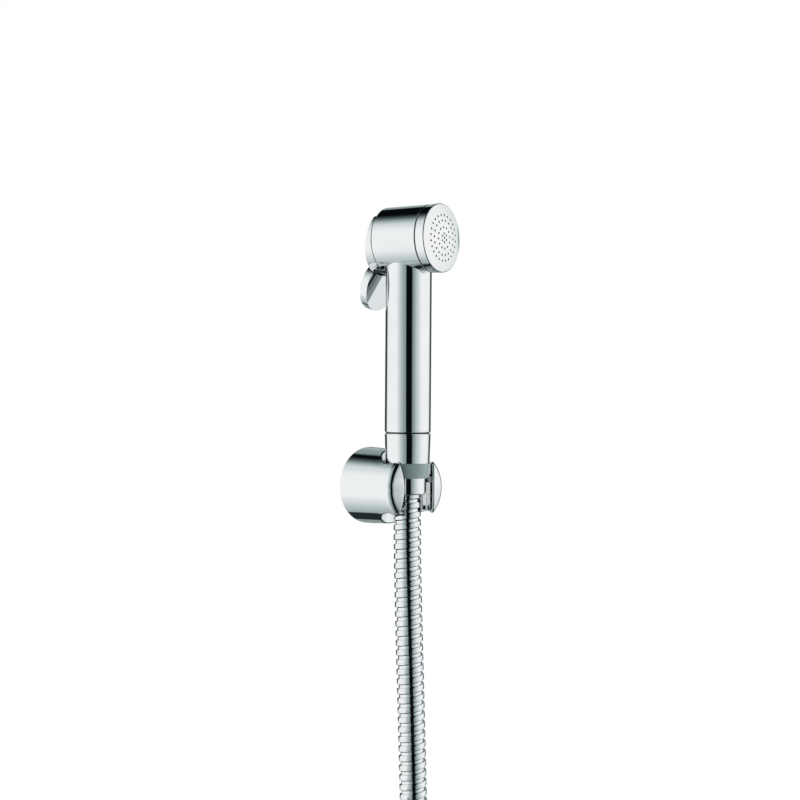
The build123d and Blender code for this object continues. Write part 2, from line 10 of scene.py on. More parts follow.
import bmesh
import bpy
import numpy as np
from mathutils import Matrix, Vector


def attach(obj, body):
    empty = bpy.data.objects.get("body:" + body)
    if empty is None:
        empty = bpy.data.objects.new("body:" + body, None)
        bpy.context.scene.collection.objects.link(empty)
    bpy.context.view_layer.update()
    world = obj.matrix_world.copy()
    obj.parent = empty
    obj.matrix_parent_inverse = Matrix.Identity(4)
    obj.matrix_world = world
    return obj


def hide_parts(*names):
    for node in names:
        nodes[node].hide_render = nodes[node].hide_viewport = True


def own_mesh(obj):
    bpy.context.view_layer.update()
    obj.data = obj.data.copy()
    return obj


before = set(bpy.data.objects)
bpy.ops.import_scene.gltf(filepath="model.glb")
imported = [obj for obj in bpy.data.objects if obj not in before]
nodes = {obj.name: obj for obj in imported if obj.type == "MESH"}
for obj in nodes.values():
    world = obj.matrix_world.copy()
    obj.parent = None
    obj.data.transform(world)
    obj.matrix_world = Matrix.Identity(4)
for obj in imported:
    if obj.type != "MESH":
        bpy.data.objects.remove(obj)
bpy.context.view_layer.update()
MM = 0.001
print("pieces in the frame:", len(nodes))

# %% [markdown]
# The camera stands to the left of the holder and looks almost level along the wall's face.
# A camera is a place, a point to look at and a lens. The place is worked out by walking
# back from the point along the line of sight, so the angle and the distance stay readable.

# %% Camera
CAMERA_AZIMUTH = math.radians(-41.01)
CAMERA_ELEVATION = math.radians(0.16)
CAMERA_ROLL = math.radians(0.4)
CAMERA_DISTANCE = 0.8006
CAMERA_TARGET = Vector((-5.20, -30.19, 44.88)) * MM
SENSOR_WIDTH = 36.0
PHOTO_WIDTH = 800
FOCAL_PIXELS = 1567.34

to_camera = Vector(
    (
        math.sin(CAMERA_AZIMUTH) * math.cos(CAMERA_ELEVATION),
        -math.cos(CAMERA_AZIMUTH) * math.cos(CAMERA_ELEVATION),
        math.sin(CAMERA_ELEVATION),
    )
)
camera_data = bpy.data.cameras.new("portrait_camera")
camera_data.sensor_width = SENSOR_WIDTH
camera_data.lens = FOCAL_PIXELS * SENSOR_WIDTH / PHOTO_WIDTH
camera_data.clip_start = 0.01
camera = bpy.data.objects.new("portrait_camera", camera_data)
camera.location = CAMERA_TARGET + to_camera * CAMERA_DISTANCE
camera.rotation_euler = to_camera.to_track_quat("Z", "Y").to_euler()
camera.rotation_euler.rotate_axis("Z", CAMERA_ROLL)
bpy.context.scene.collection.objects.link(camera)
bpy.context.scene.camera = camera
bpy.context.scene.view_settings.view_transform = "Standard"
print("lens", round(camera_data.lens, 2), "mm at", [round(x, 3) for x in camera.location])

# %% [markdown]
# Shader maths is easier to read as plain sums than as boxes and wires. The class below
# wraps one output of a node. Adding or multiplying it adds the Math node that does the sum,
# and node() adds any other kind of node.

# %% A small class for shader sums


class Wire:
    """One value on its way through a shader tree. + - * on it add Math nodes."""

    def __init__(self, tree, socket=None):
        self.tree = tree
        self.socket = socket

    def node(self, kind, settings=None, output=0, **sockets):
        """Adds a node: its type, its settings, then the values or links of its sockets.

        A socket is named with _ for a space, or _0, _1 for its number.
        """
        new = self.tree.nodes.new(kind)
        for name, value in (settings or {}).items():
            if name == "stops":
                fill_ramp(new.color_ramp, value)
            else:
                setattr(new, name, value)
        for name, value in sockets.items():
            socket = new.inputs[int(name[1:]) if name[0] == "_" else name.replace("_", " ")]
            if isinstance(value, Wire):
                self.tree.links.new(value.socket, socket)
            else:
                socket.default_value = value
        return Wire(self.tree, new.outputs[output] if len(new.outputs) else None)

    def sum_of(self, operation, first, second):
        return self.node("ShaderNodeMath", {"operation": operation}, _0=first, _1=second)

    def __add__(self, other):
        return self.sum_of("ADD", self, other)

    def __radd__(self, other):
        return self.sum_of("ADD", other, self)

    def __sub__(self, other):
        return self.sum_of("SUBTRACT", self, other)

    def __rsub__(self, other):
        return self.sum_of("SUBTRACT", other, self)

    def __mul__(self, other):
        return self.sum_of("MULTIPLY", self, other)

    def __rmul__(self, other):
        return self.sum_of("MULTIPLY", other, self)

    def between(self, low, high):
        """Rises smoothly from 0 at low to 1 at high."""
        smooth = {"interpolation_type": "SMOOTHSTEP"}
        return self.node("ShaderNodeMapRange", smooth, Value=self, From_Min=low, From_Max=high)

    def ramp(self, stops):
        """The colour, or the grey, that the stops give at this value."""
        return self.node("ShaderNodeValToRGB", {"stops": stops}, Fac=self)

    def mix(self, other, share):
        """The colour of self where share is 0, and of other where it is 1."""
        return self.node("ShaderNodeMix", {"data_type": "RGBA"}, output=2, _0=share, _6=self, _7=other)


def fill_ramp(ramp, stops):
    """Stops are pairs of a position and a colour, where one number means a grey."""
    while len(ramp.elements) < len(stops):
        ramp.elements.new(0.5)
    for element, (position, colour) in zip(ramp.elements, stops):
        element.position = position
        element.color = (*colour, 1.0) if isinstance(colour, tuple) else (colour, colour, colour, 1.0)


# %% [markdown]
# The studio is the world's own shader: a brightness for each direction. A tall white wall
# stands at the left and another at the right of the camera, and both fade towards a black
# gap in the middle, where the camera stands. The ceiling is black too. This is how polished
# fittings are lit: the black gap draws the dark stripe down every tube, and the fading
# walls draw the soft greys beside it.
# Each list goes from the far left (0) to the far right (1), and holds how bright a mirror
# shows that part, from 0 to 1.

# %% The walls of the studio
WALLS_LEVEL = [
    (0.0, 0.955),
    (0.045, 0.95),
    (0.07, 0.935),
    (0.095, 0.908),
    (0.125, 0.865),
    (0.16, 0.805),
    (0.195, 0.765),
    (0.27, 0.675),
    (0.31, 0.628),
    (0.35, 0.60),
    (0.38, 0.58),
    (0.65, 0.36),
    (0.69, 0.512),
    (0.73, 0.588),
    (0.77, 0.648),
    (0.84, 0.76),
    (0.905, 0.83),
    (0.93, 0.872),
    (0.975, 0.937),
    (1.0, 0.965),
]
WALLS_OVERHEAD = [
    (0.02, 0.925),
    (0.075, 0.885),
    (0.10, 0.865),
    (0.125, 0.835),
    (0.16, 0.70),
    (0.175, 0.62),
    (0.20, 0.455),
    (0.235, 0.25),
    (0.255, 0.13),
    (0.28, 0.03),
    (0.735, 0.03),
    (0.755, 0.20),
    (0.80, 0.47),
    (0.85, 0.74),
    (0.90, 0.855),
    (0.98, 0.92),
]
print("stops:", len(WALLS_LEVEL), "at the horizon and", len(WALLS_OVERHEAD), "overhead")

# %% [markdown]
# The greys of the studio lean a little towards green-blue, as daylight tubes do, and this
# list turns a brightness into such a colour.

# %% The tint of the studio's light
STUDIO_TINT = [
    (0.0, (0.001, 0.0015, 0.002)),
    (0.055, (0.003, 0.005, 0.006)),
    (0.2, (0.027, 0.037, 0.038)),
    (0.35, (0.087, 0.111, 0.113)),
    (0.5, (0.19, 0.238, 0.24)),
    (0.63, (0.32, 0.39, 0.396)),
    (0.75, (0.507, 0.58, 0.586)),
    (0.85, (0.717, 0.77, 0.778)),
    (0.945, (0.955, 0.977, 0.985)),
    (1.0, (1.0, 1.0, 1.0)),
]


def grey(level):
    return (level, level, level, 1.0)


WHITE = grey(1.0)
print("black is", STUDIO_TINT[0][1], "and white is", WHITE[:3])

# %% [markdown]
# The world shader reads a direction as three numbers: how far it points to the camera, to
# the right and up. A patch of the studio is then a product of soft edges. Each edge names
# one of the three numbers, the value where the patch begins and the one where it is whole.

# %% Directions and soft patches
FRONT, RIGHT, UP = range(3)


def three_parts(start):
    """The dot products of the world's direction with the three axes of the studio."""
    direction = start.node("ShaderNodeTexCoord")
    sine, cosine = math.sin(CAMERA_AZIMUTH), math.cos(CAMERA_AZIMUTH)
    dot = {"operation": "DOT_PRODUCT"}
    axes = [(sine, -cosine, 0), (cosine, sine, 0), (0, 0, 1)]
    return [start.node("ShaderNodeVectorMath", dot, 1, _0=direction, _1=axis) for axis in axes]


def patch(look, *edges):
    """How far a direction lies inside a patch: the product of its soft edges."""
    part, begins, whole = edges[0]
    share = look[part].between(begins, whole)
    for part, begins, whole in edges[1:]:
        share = share * look[part].between(begins, whole)
    return share


# %% [markdown]
# The side walls follow their list. The right one gets darker towards the ground, and its
# far end is lit. The left one changes less: low down it is a shade darker, but lighter
# beside the camera. Without these, a mirror that looks down would match one that looks
# level, and the lower edge of each tube would look flat.

# %% The side walls
WALL_SHADE = grey(0.035)
LOW_RIGHT_FRONT = ((UP, -0.08, -0.7), (FRONT, -0.1, 0.2))
LOW_RIGHT_BACK = ((UP, -0.3, -0.6), (FRONT, 0.1, -0.1))
RIGHT_SIDE = (RIGHT, 0.0, 0.3)
RIGHT_FAR_END = ((FRONT, 0.05, -0.3), (RIGHT, 0.4, 0.6), (UP, -0.25, -0.05))
LOW_LEFT = ((UP, -0.3, -0.5), (RIGHT, -0.3, -0.45))
LEFT_BEFORE_CAMERA = (FRONT, 0.4, 0.2)


def side_walls(look, across):
    """The list's brightness, mixed with the shade or with white in each patch."""
    walls = across.ramp(WALLS_LEVEL)
    low_right = patch(look, *LOW_RIGHT_FRONT) * 0.36 + patch(look, *LOW_RIGHT_BACK) * 0.4
    walls = walls.mix(WALL_SHADE, low_right * patch(look, RIGHT_SIDE))
    walls = walls.mix(WHITE, patch(look, *RIGHT_FAR_END) * 0.42)
    low_left = patch(look, *LOW_LEFT)
    beside_camera = (look[FRONT] - look[UP] * 0.3).between(-0.06, 0.1)
    walls = walls.mix(WALL_SHADE, low_left * (1.0 - beside_camera) * 0.06)
    return walls.mix(WHITE, low_left * beside_camera * patch(look, LEFT_BEFORE_CAMERA) * 0.12)


# %% [markdown]
# The black gap is where the camera stands. Its edges are a little soft, and they draw apart
# above and below the horizon, so the dark stripe on a tube that bends away gets wider.

# %% The gap between the walls
GAP_BLACK = grey(0.035)
GAP_LOW = grey(0.17)
GAP_LEFT = -0.17
GAP_RIGHT = 0.31
GAP_SOFTNESS = 0.035
ABOVE = (UP, 0.05, 0.45)
NEAR_THE_GROUND = (UP, -0.65, -0.85)


def with_gap(walls, look, sideways, steepness):
    """Black between two edges, each a place to the right plus a part of the height."""
    above = patch(look, ABOVE)
    left = look[UP] * -0.1 - above * 0.025 + GAP_LEFT
    right = steepness * 0.12 + above * 0.03 + GAP_RIGHT
    gap = sideways.between(left - GAP_SOFTNESS, left + GAP_SOFTNESS)
    gap = gap * sideways.between(right + GAP_SOFTNESS, right - GAP_SOFTNESS)
    walls = walls.mix(GAP_BLACK, gap)
    return walls.mix(GAP_LOW, gap * patch(look, NEAR_THE_GROUND))


# %% [markdown]
# Overhead the walls give way to the dark ceiling. Behind the shower stands a grey wall with
# dark ground before it, and a dark band crosses it at the height of the horizon. The far
# right corner is dark too: it draws the fine dark line down the right edge of each tube.

# %% The ceiling and the back
BACK_WALL = [(0.3, 0.69), (0.65, 0.54)]
BACK_WALL_LOW = grey(0.575)
BACK_DARK = grey(0.24)
GROUND_DARK = grey(0.145)
CEILING = ((UP, 0.3, 0.56), (FRONT, 0.4, 0.1))
MIDDLE = ((RIGHT, -0.52, -0.46), (RIGHT, 0.52, 0.46))
GROUND_BEHIND = ((FRONT, -0.5, -0.56), (UP, -0.5, -0.56))
BACK = ((FRONT, -0.62, -0.7), (UP, -0.56, -0.5))
BACK_BELOW = (UP, 0.1, -0.1)
BAND = ((UP, -0.24, -0.14), (UP, 0.22, 0.14))
FAR_CORNER = ((FRONT, -0.672, -0.70), (RIGHT, 0.5, 0.6))


def with_back(walls, look, across, steepness):
    """Each part covers what is under it. The top of the back wall slopes to the right."""
    walls = walls.mix(across.ramp(WALLS_OVERHEAD), patch(look, *CEILING))
    middle = patch(look, *MIDDLE)
    walls = walls.mix(GROUND_DARK, middle * patch(look, *GROUND_BEHIND))
    back_top = 0.59 - 0.2 * look[RIGHT]
    back = middle * patch(look, *BACK) * look[UP].between(back_top + 0.02, back_top - 0.02)
    walls = walls.mix(look[UP].ramp(BACK_WALL), back)
    walls = walls.mix(BACK_WALL_LOW, back * patch(look, BACK_BELOW))
    straight_back = (look[FRONT] + look[RIGHT] * 0.06).between(-0.66, -0.74)
    walls = walls.mix(BACK_DARK, straight_back * patch(look, *BAND))
    far_corner = patch(look, *FAR_CORNER) * steepness.between(0.35, 0.25)
    return walls.mix(BACK_DARK, far_corner * 0.5)


# %% [markdown]
# The camera itself has to see plain white behind the shower, while the metal mirrors the
# studio. The Light Path node tells the two apart. Matt pieces get their light from the same
# walls, only stronger, because most of the studio is darker than a real room.

# %% Building the studio
ROOM_LIGHT = 2.6
ROOM_LEAN = 0.35            # how much more of it comes from the right
WALL_LEAN = 0.12            # how far the walls lean over where they cross the horizon


def build_studio():
    """White for the camera, the tinted studio for a mirror, and the studio times the room's
    light for the rest."""
    world = bpy.data.worlds.new("studio")
    world.use_nodes = True
    bpy.context.scene.world = world
    tree = world.node_tree
    tree.nodes.clear()
    start = Wire(tree)
    look = three_parts(start)
    steepness = start.sum_of("ABSOLUTE", look[UP], 0.0)
    lean = (look[UP].between(-0.12, 0.12) - 0.5) * steepness.between(0.22, 0.08)
    sideways = look[RIGHT] + lean * WALL_LEAN
    across = sideways * 0.5 + 0.5
    walls = side_walls(look, across)
    walls = with_gap(walls, look, sideways, steepness)
    walls = with_back(walls, look, across, steepness)

    light = start.node("ShaderNodeRGBToBW", Color=walls).ramp(STUDIO_TINT)
    seen = start.node("ShaderNodeLightPath", output="Is Camera Ray")
    mirrored = start.node("ShaderNodeLightPath", output="Is Glossy Ray")
    mirrored = mirrored + start.node("ShaderNodeLightPath", output="Is Transmission Ray")
    room = ROOM_LIGHT * (1.0 + ROOM_LEAN * look[RIGHT])
    strength = seen + mirrored + (1.0 - seen - mirrored) * room
    lit = start.node("ShaderNodeBackground", Color=light.mix(WHITE, seen), Strength=strength)
    start.node("ShaderNodeOutputWorld", Surface=lit)
    return tree


studio = build_studio()
print("the studio has", len(studio.nodes), "nodes")

# %% [markdown]
# A pale floor lies well below the hose. A shower hangs on a wall, so the picture doesn't
# show the floor, but other views do. It is a round sheet made from one circle of points,
# and it is stage: it isn't part of the shower. Its material is our first real one. The
# metal would mirror the floor's edge as a hard line, so mirrors look through it.

# %% The floor
FLOOR_HEIGHT = -0.43
FLOOR_RADIUS = 0.6
FLOOR_STEPS = 96
FLOOR_TONES = [(0.3, (0.88, 0.89, 0.89)), (0.7, (0.92, 0.93, 0.93))]


def surface(name, points, faces, smooth=True):
    """A mesh object from an array of points and one of faces, already in its place."""
    mesh = bpy.data.meshes.new(name)
    mesh.from_pydata(points.tolist(), [], faces.tolist())
    mesh.validate()
    if smooth:
        mesh.shade_smooth()
    else:
        mesh.shade_flat()
    piece = bpy.data.objects.new(name, mesh)
    bpy.context.scene.collection.objects.link(piece)
    return piece


def round_sheet(name, radius, height, steps):
    """Points r cos a, r sin a of one circle about the origin, joined as one flat face."""
    angle = np.arange(steps) * 2 * np.pi / steps
    points = np.stack([radius * np.cos(angle), radius * np.sin(angle), np.full(steps, height)], 1)
    return surface(name, points, np.arange(steps)[None, :], smooth=False)


def floor_material():
    """A matt, faintly mottled paint that a mirror looks through to the studio."""
    material = bpy.data.materials.new("pale_floor")
    material.use_nodes = True
    tree = material.node_tree
    tree.nodes.clear()
    start = Wire(tree)
    place = start.node("ShaderNodeTexCoord", output=3)
    mottle = start.node("ShaderNodeTexNoise", Vector=place, Scale=14.0, Detail=5.0)
    colour = mottle.ramp(FLOOR_TONES)
    paint = start.node("ShaderNodeBsdfPrincipled", Base_Color=colour, Roughness=0.7)
    mirrored = start.node("ShaderNodeLightPath", output="Is Glossy Ray")
    see_through = start.node("ShaderNodeBsdfTransparent")
    shown = start.node("ShaderNodeMixShader", _0=mirrored, _1=paint, _2=see_through)
    start.node("ShaderNodeOutputMaterial", Surface=shown)
    return material


floor = round_sheet("floor", FLOOR_RADIUS, FLOOR_HEIGHT, FLOOR_STEPS)
floor.data.materials.append(floor_material())
print("floor at", FLOOR_HEIGHT, "m")

# %% [markdown]
# The hose hangs straight down from the handset and its spare length is put away in a coil.
# Its line is one smooth NURBS spline. The same few points shape it here as in the solid
# model, in metres, and the coil adds sixteen points for each turn, made by a loop. The
# second turn lies in front of the first, so the line crosses from one lane to the other
# over a quarter turn, and it dips inwards there to pass under the end of the hose.

# %% The line of the hose
COIL_MIDDLE = np.array([-0.070, 0.0, -0.258])
BACK_LANE = -0.0348
FRONT_LANE = -0.0490
COIL_POINTS_A_TURN = 16
COIL_LAST_POINT = 26
COIL_PULL = 0.07645         # the spline cuts inside its points, to lie at 75 mm
DIP_TURNS = [0.75, 0.8125, 0.875, 0.9375, 1.0]
DIP_RADII = [0.0738, 0.0690, 0.0665, 0.0700, 0.0758]
HANGING_POINTS = [
    (0.0, -0.0304, -0.0014),
    (0.0, -0.0304, -0.025),
    (0.0010, -0.0313, -0.072),
    (0.0026, -0.0325, -0.132),
    (0.0042, -0.0337, -0.195),
    (0.0050, -0.0348, -0.258),
]
LOOSE_END_OFFSETS = [
    (-0.0177, 0.0750),
    (0.0177, 0.0750),
    (0.0504, 0.0615),
    (0.0754, 0.0364),
    (0.0894, 0.0037),
    (0.0894, -0.0420),
]


def coil_points():
    """Round the coil, right side first, down and to the left: x and z are the middle plus
    radius times cosine and minus sine of the turn, and y eases from lane to lane."""
    turns = np.arange(1, COIL_LAST_POINT + 1) / COIL_POINTS_A_TURN
    radius = np.interp(turns, DIP_TURNS, DIP_RADII, left=COIL_PULL, right=COIL_PULL)
    crossing = np.clip((turns - 0.75) / 0.25, 0, 1)
    eased = crossing**2 * (3 - 2 * crossing)
    x = COIL_MIDDLE[0] + radius * np.cos(2 * np.pi * turns)
    y = BACK_LANE + (FRONT_LANE - BACK_LANE) * eased
    z = COIL_MIDDLE[2] - radius * np.sin(2 * np.pi * turns)
    return np.stack([x, y, z], axis=1)


def smooth_line(name, points):
    """A NURBS spline of order 3 that starts and ends on its first and last points."""
    curve = bpy.data.curves.new(name, "CURVE")
    curve.dimensions = "3D"
    curve.resolution_u = 24
    spline = curve.splines.new("NURBS")
    spline.points.add(len(points) - 1)
    weights = np.ones((len(points), 1))
    spline.points.foreach_set("co", np.hstack([points, weights]).ravel())
    spline.order_u = 3
    spline.use_endpoint_u = True
    return curve


def points_on(curve):
    """The spline's own points, read from it as a mesh of edges."""
    holder = bpy.data.objects.new(curve.name, curve)
    mesh = bpy.data.meshes.new_from_object(holder)
    places = np.empty(len(mesh.vertices) * 3)
    mesh.vertices.foreach_get("co", places)
    bpy.data.objects.remove(holder)
    return places.reshape(-1, 3)


loose_end = [(COIL_MIDDLE[0] + x, FRONT_LANE, COIL_MIDDLE[2] + z) for x, z in LOOSE_END_OFFSETS]
route = np.vstack([HANGING_POINTS, coil_points(), loose_end])
hose_line = points_on(smooth_line("hose_line", route))
steps_along = np.linalg.norm(np.diff(hose_line, axis=0), axis=1)
line_length = float(steps_along.sum())
print("hose line:", len(hose_line), "points,", round(line_length * 1000, 1), "mm long")

# %% [markdown]
# The skin of the hose is one long strip of folded metal, wound round and hooked into
# itself. Its outside is a smooth rib, then a narrow lower band, again and again at a slant.
# A grid that is wound the same way gives clean edges: its rows follow the winding, so each
# row lies at one place of the strip's section, and going once round ends a full pitch on.

# %% The wound metal hose
PITCH = 0.00493
ROWS_A_PITCH = 10
COLUMNS = 32
FIRST_RIB = -0.31           # where the first rib starts, in pitches after the nut
STRIP_PLACE = np.array([0.0, 0.015, 0.055, 0.31, 0.565, 0.60, 0.615, 0.665, 0.685, 0.85])
STRIP_RADIUS = np.array([6.12, 6.82, 6.98, 7.03, 6.98, 6.82, 5.70, 5.70, 6.02, 6.07]) * MM


def frames_along(line):
    """Unit vectors across the line. The second is square to the line and to +Y made square
    to it, which works because the hose never runs along Y."""
    along = np.gradient(line, axis=0)
    along /= np.linalg.norm(along, axis=1)[:, None]
    toward_wall = np.array([0.0, 1.0, 0.0]) - along * along[:, 1:2]
    toward_wall /= np.linalg.norm(toward_wall, axis=1)[:, None]
    return toward_wall, np.cross(along, toward_wall)


def wound_tube(line):
    """Point = line(s) + r (cos a * first + sin a * second), where s is pitch times the place
    in the winding plus a part of a turn, and r follows the strip's section."""
    gaps = np.linalg.norm(np.diff(line, axis=0), axis=1)
    run = np.concatenate([[0.0], np.cumsum(gaps)])
    first, second = frames_along(line)
    pitches = int(run[-1] / PITCH) + 2
    rows = np.arange(-ROWS_A_PITCH, pitches * ROWS_A_PITCH + 1)
    columns = np.arange(COLUMNS)
    winding = rows // ROWS_A_PITCH + STRIP_PLACE[rows % ROWS_A_PITCH]
    wanted = (FIRST_RIB + winding[:, None] + columns[None, :] / COLUMNS) * PITCH
    s = np.clip(wanted, 0.0, run[-1])
    radius = np.broadcast_to(STRIP_RADIUS[rows % ROWS_A_PITCH][:, None], s.shape)
    radius = np.where(s == wanted, radius, 0.0)
    angle = np.broadcast_to(columns * 2 * np.pi / COLUMNS, s.shape)

    def at(values):
        return np.stack([np.interp(s, run, values[:, k]) for k in range(3)], axis=-1)

    spoke = np.cos(angle)[..., None] * at(first) + np.sin(angle)[..., None] * at(second)
    points = at(line) + radius[..., None] * spoke
    return points, rows, winding


tube_points, tube_rows, tube_winding = wound_tube(hose_line)
print("rows of the winding:", len(tube_rows))

# %% [markdown]
# The faces join each point to its neighbours. Going once round arrives a pitch further on,
# so the last column meets the first one that many rows later. At both ends of the hose the
# rows run out on a single point, which closes the skin.

# %% The faces of the hose


def wound_faces(rows_count):
    """Squares between neighbours. The last column joins the first one a whole pitch on."""
    i, j = np.meshgrid(np.arange(rows_count - 1), np.arange(COLUMNS), indexing="ij")
    wrap = j == COLUMNS - 1
    right_i = np.where(wrap, i + ROWS_A_PITCH, i)
    right_j = np.where(wrap, 0, j + 1)
    here = i * COLUMNS + j
    right = right_i * COLUMNS + right_j
    faces = np.stack([here, right, right + COLUMNS, here + COLUMNS], axis=-1).reshape(-1, 4)
    return faces[faces.max(axis=1) < rows_count * COLUMNS]


def close_ends(piece):
    """Past both ends of the line the points fall on its last point, and merging them there
    leaves one closed skin."""
    shell = bmesh.new()
    shell.from_mesh(piece.data)
    bmesh.ops.remove_doubles(shell, verts=shell.verts, dist=1e-6)
    shell.to_mesh(piece.data)
    shell.free()
    piece.data.shade_smooth()
    piece.data.set_sharp_from_angle(angle=math.radians(38))


tube_faces = wound_faces(len(tube_rows))
hose = surface("hose_skin", tube_points.reshape(-1, 3), tube_faces)
print("hose skin:", len(tube_faces), "faces")

# %% [markdown]
# A UV map that follows the winding lets the finish of the hose tell the rib from the lower
# band. U goes once round the hose, and V counts the pitches, so the part of V after the
# point is the place across the strip.

# %% A map that follows the winding


def wind_map(piece, faces, winding):
    """U = column over the number of columns, V = the row's place in the winding."""
    row, column = faces[:, 0] // COLUMNS, faces[:, 0] % COLUMNS
    left, right = column / COLUMNS, (column + 1) / COLUMNS
    near, far = winding[row], winding[np.minimum(row + 1, len(winding) - 1)]
    corners = np.stack([left, near, right, near, right, far, left, far], axis=1)
    layer = piece.data.uv_layers.new(name="winding")
    layer.uv.foreach_set("vector", corners.ravel())


wind_map(hose, tube_faces, tube_winding)
close_ends(hose)
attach(hose, "set")
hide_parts("hose", "hose_end", "hose_coil")
print("hose:", len(hose.data.polygons), "faces after its ends are closed")

# %% [markdown]
# Chrome plate is a mirror, but never a perfect one. Under it the casting was ground and
# buffed, which leaves a very slight ripple that bends the edges of what it mirrors. Water
# and hands leave a thin haze that comes and goes. So the finish has three parts: a ripple
# of about 3 mm as bump, a haze that changes the roughness, and a tone that hardly changes.

# %% Polished chrome
CHROME_TONE = (0.895, 0.9, 0.9)
CLOUD_SCALE = 55.0
RIPPLE_SCALE = 260.0
RIPPLE_DEPTH = 0.0001
# The colour painted in as shade in gaps and spray holes, and as the dark reflection along the face's
# edge.
PAINTED_DARK = (0.03, 0.035, 0.035, 1.0)


def new_material(name):
    """An empty material, and a wire to start its shader with."""
    material = bpy.data.materials.new(name)
    material.use_nodes = True
    material.node_tree.nodes.clear()
    return material, Wire(material.node_tree)


def chrome(name, tone, haze=0.035, ripple=0.06, painted_dark_places=()):
    """Chrome plate: tone is its colour, haze its mean roughness and ripple the bump. Each painted dark
    place is a function that gives, from a place, how much painted shade or painted reflection darkens
    the colour there."""
    material, start = new_material(name)
    place = start.node("ShaderNodeTexCoord", output=3)
    clouds = start.node("ShaderNodeTexNoise", Vector=place, Scale=CLOUD_SCALE, Detail=4.0)
    waves = start.node("ShaderNodeTexNoise", Vector=place, Scale=RIPPLE_SCALE, Detail=1.0)
    deep = tuple(0.965 * part for part in tone)
    colour = clouds.ramp([(0.35, deep), (0.65, tone)])
    roughness = haze * 0.6 + clouds.between(0.35, 0.75) * (haze * 0.8)
    # Painted shade in gaps and holes, and a painted dark reflection on the face's edge, darken the
    # colour here.
    for painted_dark_place in painted_dark_places:
        gap = painted_dark_place(place)
        colour = colour.mix(PAINTED_DARK, gap)
        roughness = roughness + gap * 0.3
    bump = start.node("ShaderNodeBump", Strength=ripple, Distance=RIPPLE_DEPTH, Height=waves)
    plate = start.node(
        "ShaderNodeBsdfPrincipled", Base_Color=colour, Metallic=1.0, Roughness=roughness, Normal=bump
    )
    start.node("ShaderNodeOutputMaterial", Surface=plate)
    return material


print("chrome gives back", CHROME_TONE[1], "of the light")

# %% [markdown]
# Where two plated pieces meet there is a gap too narrow for light to come out of, and no mirror shows
# at the bottom of a spray hole. Both get painted shade: the colour is darkened there. Along the round
# edge of the face, a dark line is painted as the reflection of the dark room. These places are found
# from Object coordinates, which are metres from the origin here.

# %% Where shade and a reflection are painted dark on the plate
HANDSET_TURN = math.radians(15.4)
AHEAD = (math.sin(HANDSET_TURN), -math.cos(HANDSET_TURN), 0.0)
HEAD_CENTRE = (0.0, -0.0304, 0.127)
AHEAD_OF_HANDLE = 0.0304 * math.cos(HANDSET_TURN)
CAP_SEAM = (AHEAD, AHEAD_OF_HANDLE + 0.0142, AHEAD_OF_HANDLE + 0.0148)
NUT_GAP = ((0.0, 0.0, 1.0), 0.02775, 0.02845)
GAP_SHADE_SOFTNESS = 0.00006
FACE_CROWN = 0.0214         # the middle of the domed face, ahead of the head's centre
DOME_FALL = 5.39            # how fast the dome falls away, per metre
HOLES_REACH = 0.0125        # how far from the head's axis the outer holes lie
HOLE_DEPTHS = (0.00008, 0.0002)
EDGE_REACH = (0.0169**2, 0.0171**2)
EDGE_DEPTHS = (0.00025, 0.0001)
# how dark the painted reflection on the face's edge is
RIM_REFLECTION_DARK = 0.6


def gap_shade(axis, begins, ends):
    """Painted shade in a narrow gap: an axis, and where along it the shade begins and ends, in metres.
    """

    def share(place):
        along = place.node("ShaderNodeVectorMath", {"operation": "DOT_PRODUCT"}, 1, _0=place, _1=axis)
        return along.between(begins - GAP_SHADE_SOFTNESS, begins) * along.between(ends + GAP_SHADE_SOFTNESS, ends)

    return share


def face_places(place):
    """The square of the distance from the head's axis, and the depth under the dome of the
    face. The dome's height falls from its crown with that square."""
    dot = {"operation": "DOT_PRODUCT"}
    offset = place.node("ShaderNodeVectorMath", {"operation": "SUBTRACT"}, _0=place, _1=HEAD_CENTRE)
    ahead = place.node("ShaderNodeVectorMath", dot, 1, _0=offset, _1=AHEAD)
    from_axis = place.node("ShaderNodeVectorMath", dot, 1, _0=offset, _1=offset) - ahead * ahead
    depth = FACE_CROWN - from_axis * DOME_FALL - ahead
    return from_axis, depth


def spray_hole_shade(place):
    """The walls of the holes, which lie under the dome and near enough to the axis, painted dark as
    shade.
    """
    from_axis, depth = face_places(place)
    return depth.between(*HOLE_DEPTHS) * from_axis.between(HOLES_REACH**2 * 1.02, HOLES_REACH**2)


def painted_rim_reflection(place):
    """A dark line painted on the round edge between the dome and the side of the cap, as the reflection
    of the dark room that the edge would mirror.
    """
    from_axis, depth = face_places(place)
    return from_axis.between(*EDGE_REACH) * depth.between(*EDGE_DEPTHS) * RIM_REFLECTION_DARK


def dress(material, *names):
    """Puts a finish on the pieces of these names."""
    for name in names:
        for slot in nodes[name].material_slots:
            slot.material = material


# Painted shade at the cap seam, the nut's gap and the spray holes, and a painted reflection on the
# face's edge.
cap_seam_shade, nut_gap_shade = gap_shade(*CAP_SEAM), gap_shade(*NUT_GAP)
face_painted_darks = [cap_seam_shade, spray_hole_shade, painted_rim_reflection]
plated = [
    (chrome("chrome_casting", CHROME_TONE, painted_dark_places=[cap_seam_shade, nut_gap_shade]), ["handset_body"]),
    (chrome("chrome_lever", CHROME_TONE), ["lever"]),
    (chrome("chrome_holder", CHROME_TONE), ["holder_body"]),
    (chrome("chrome_nut", CHROME_TONE, ripple=0.03, painted_dark_places=[nut_gap_shade]), ["cone_nut"]),
    (chrome("chrome_turned", CHROME_TONE, ripple=0.03), ["hose_ferrule", "end_ferrule", "end_nut"]),
    (chrome("chrome_face", CHROME_TONE, haze=0.05, ripple=0.03, painted_dark_places=face_painted_darks), ["spray_cap"]),
]
for material, names in plated:
    dress(material, *names)
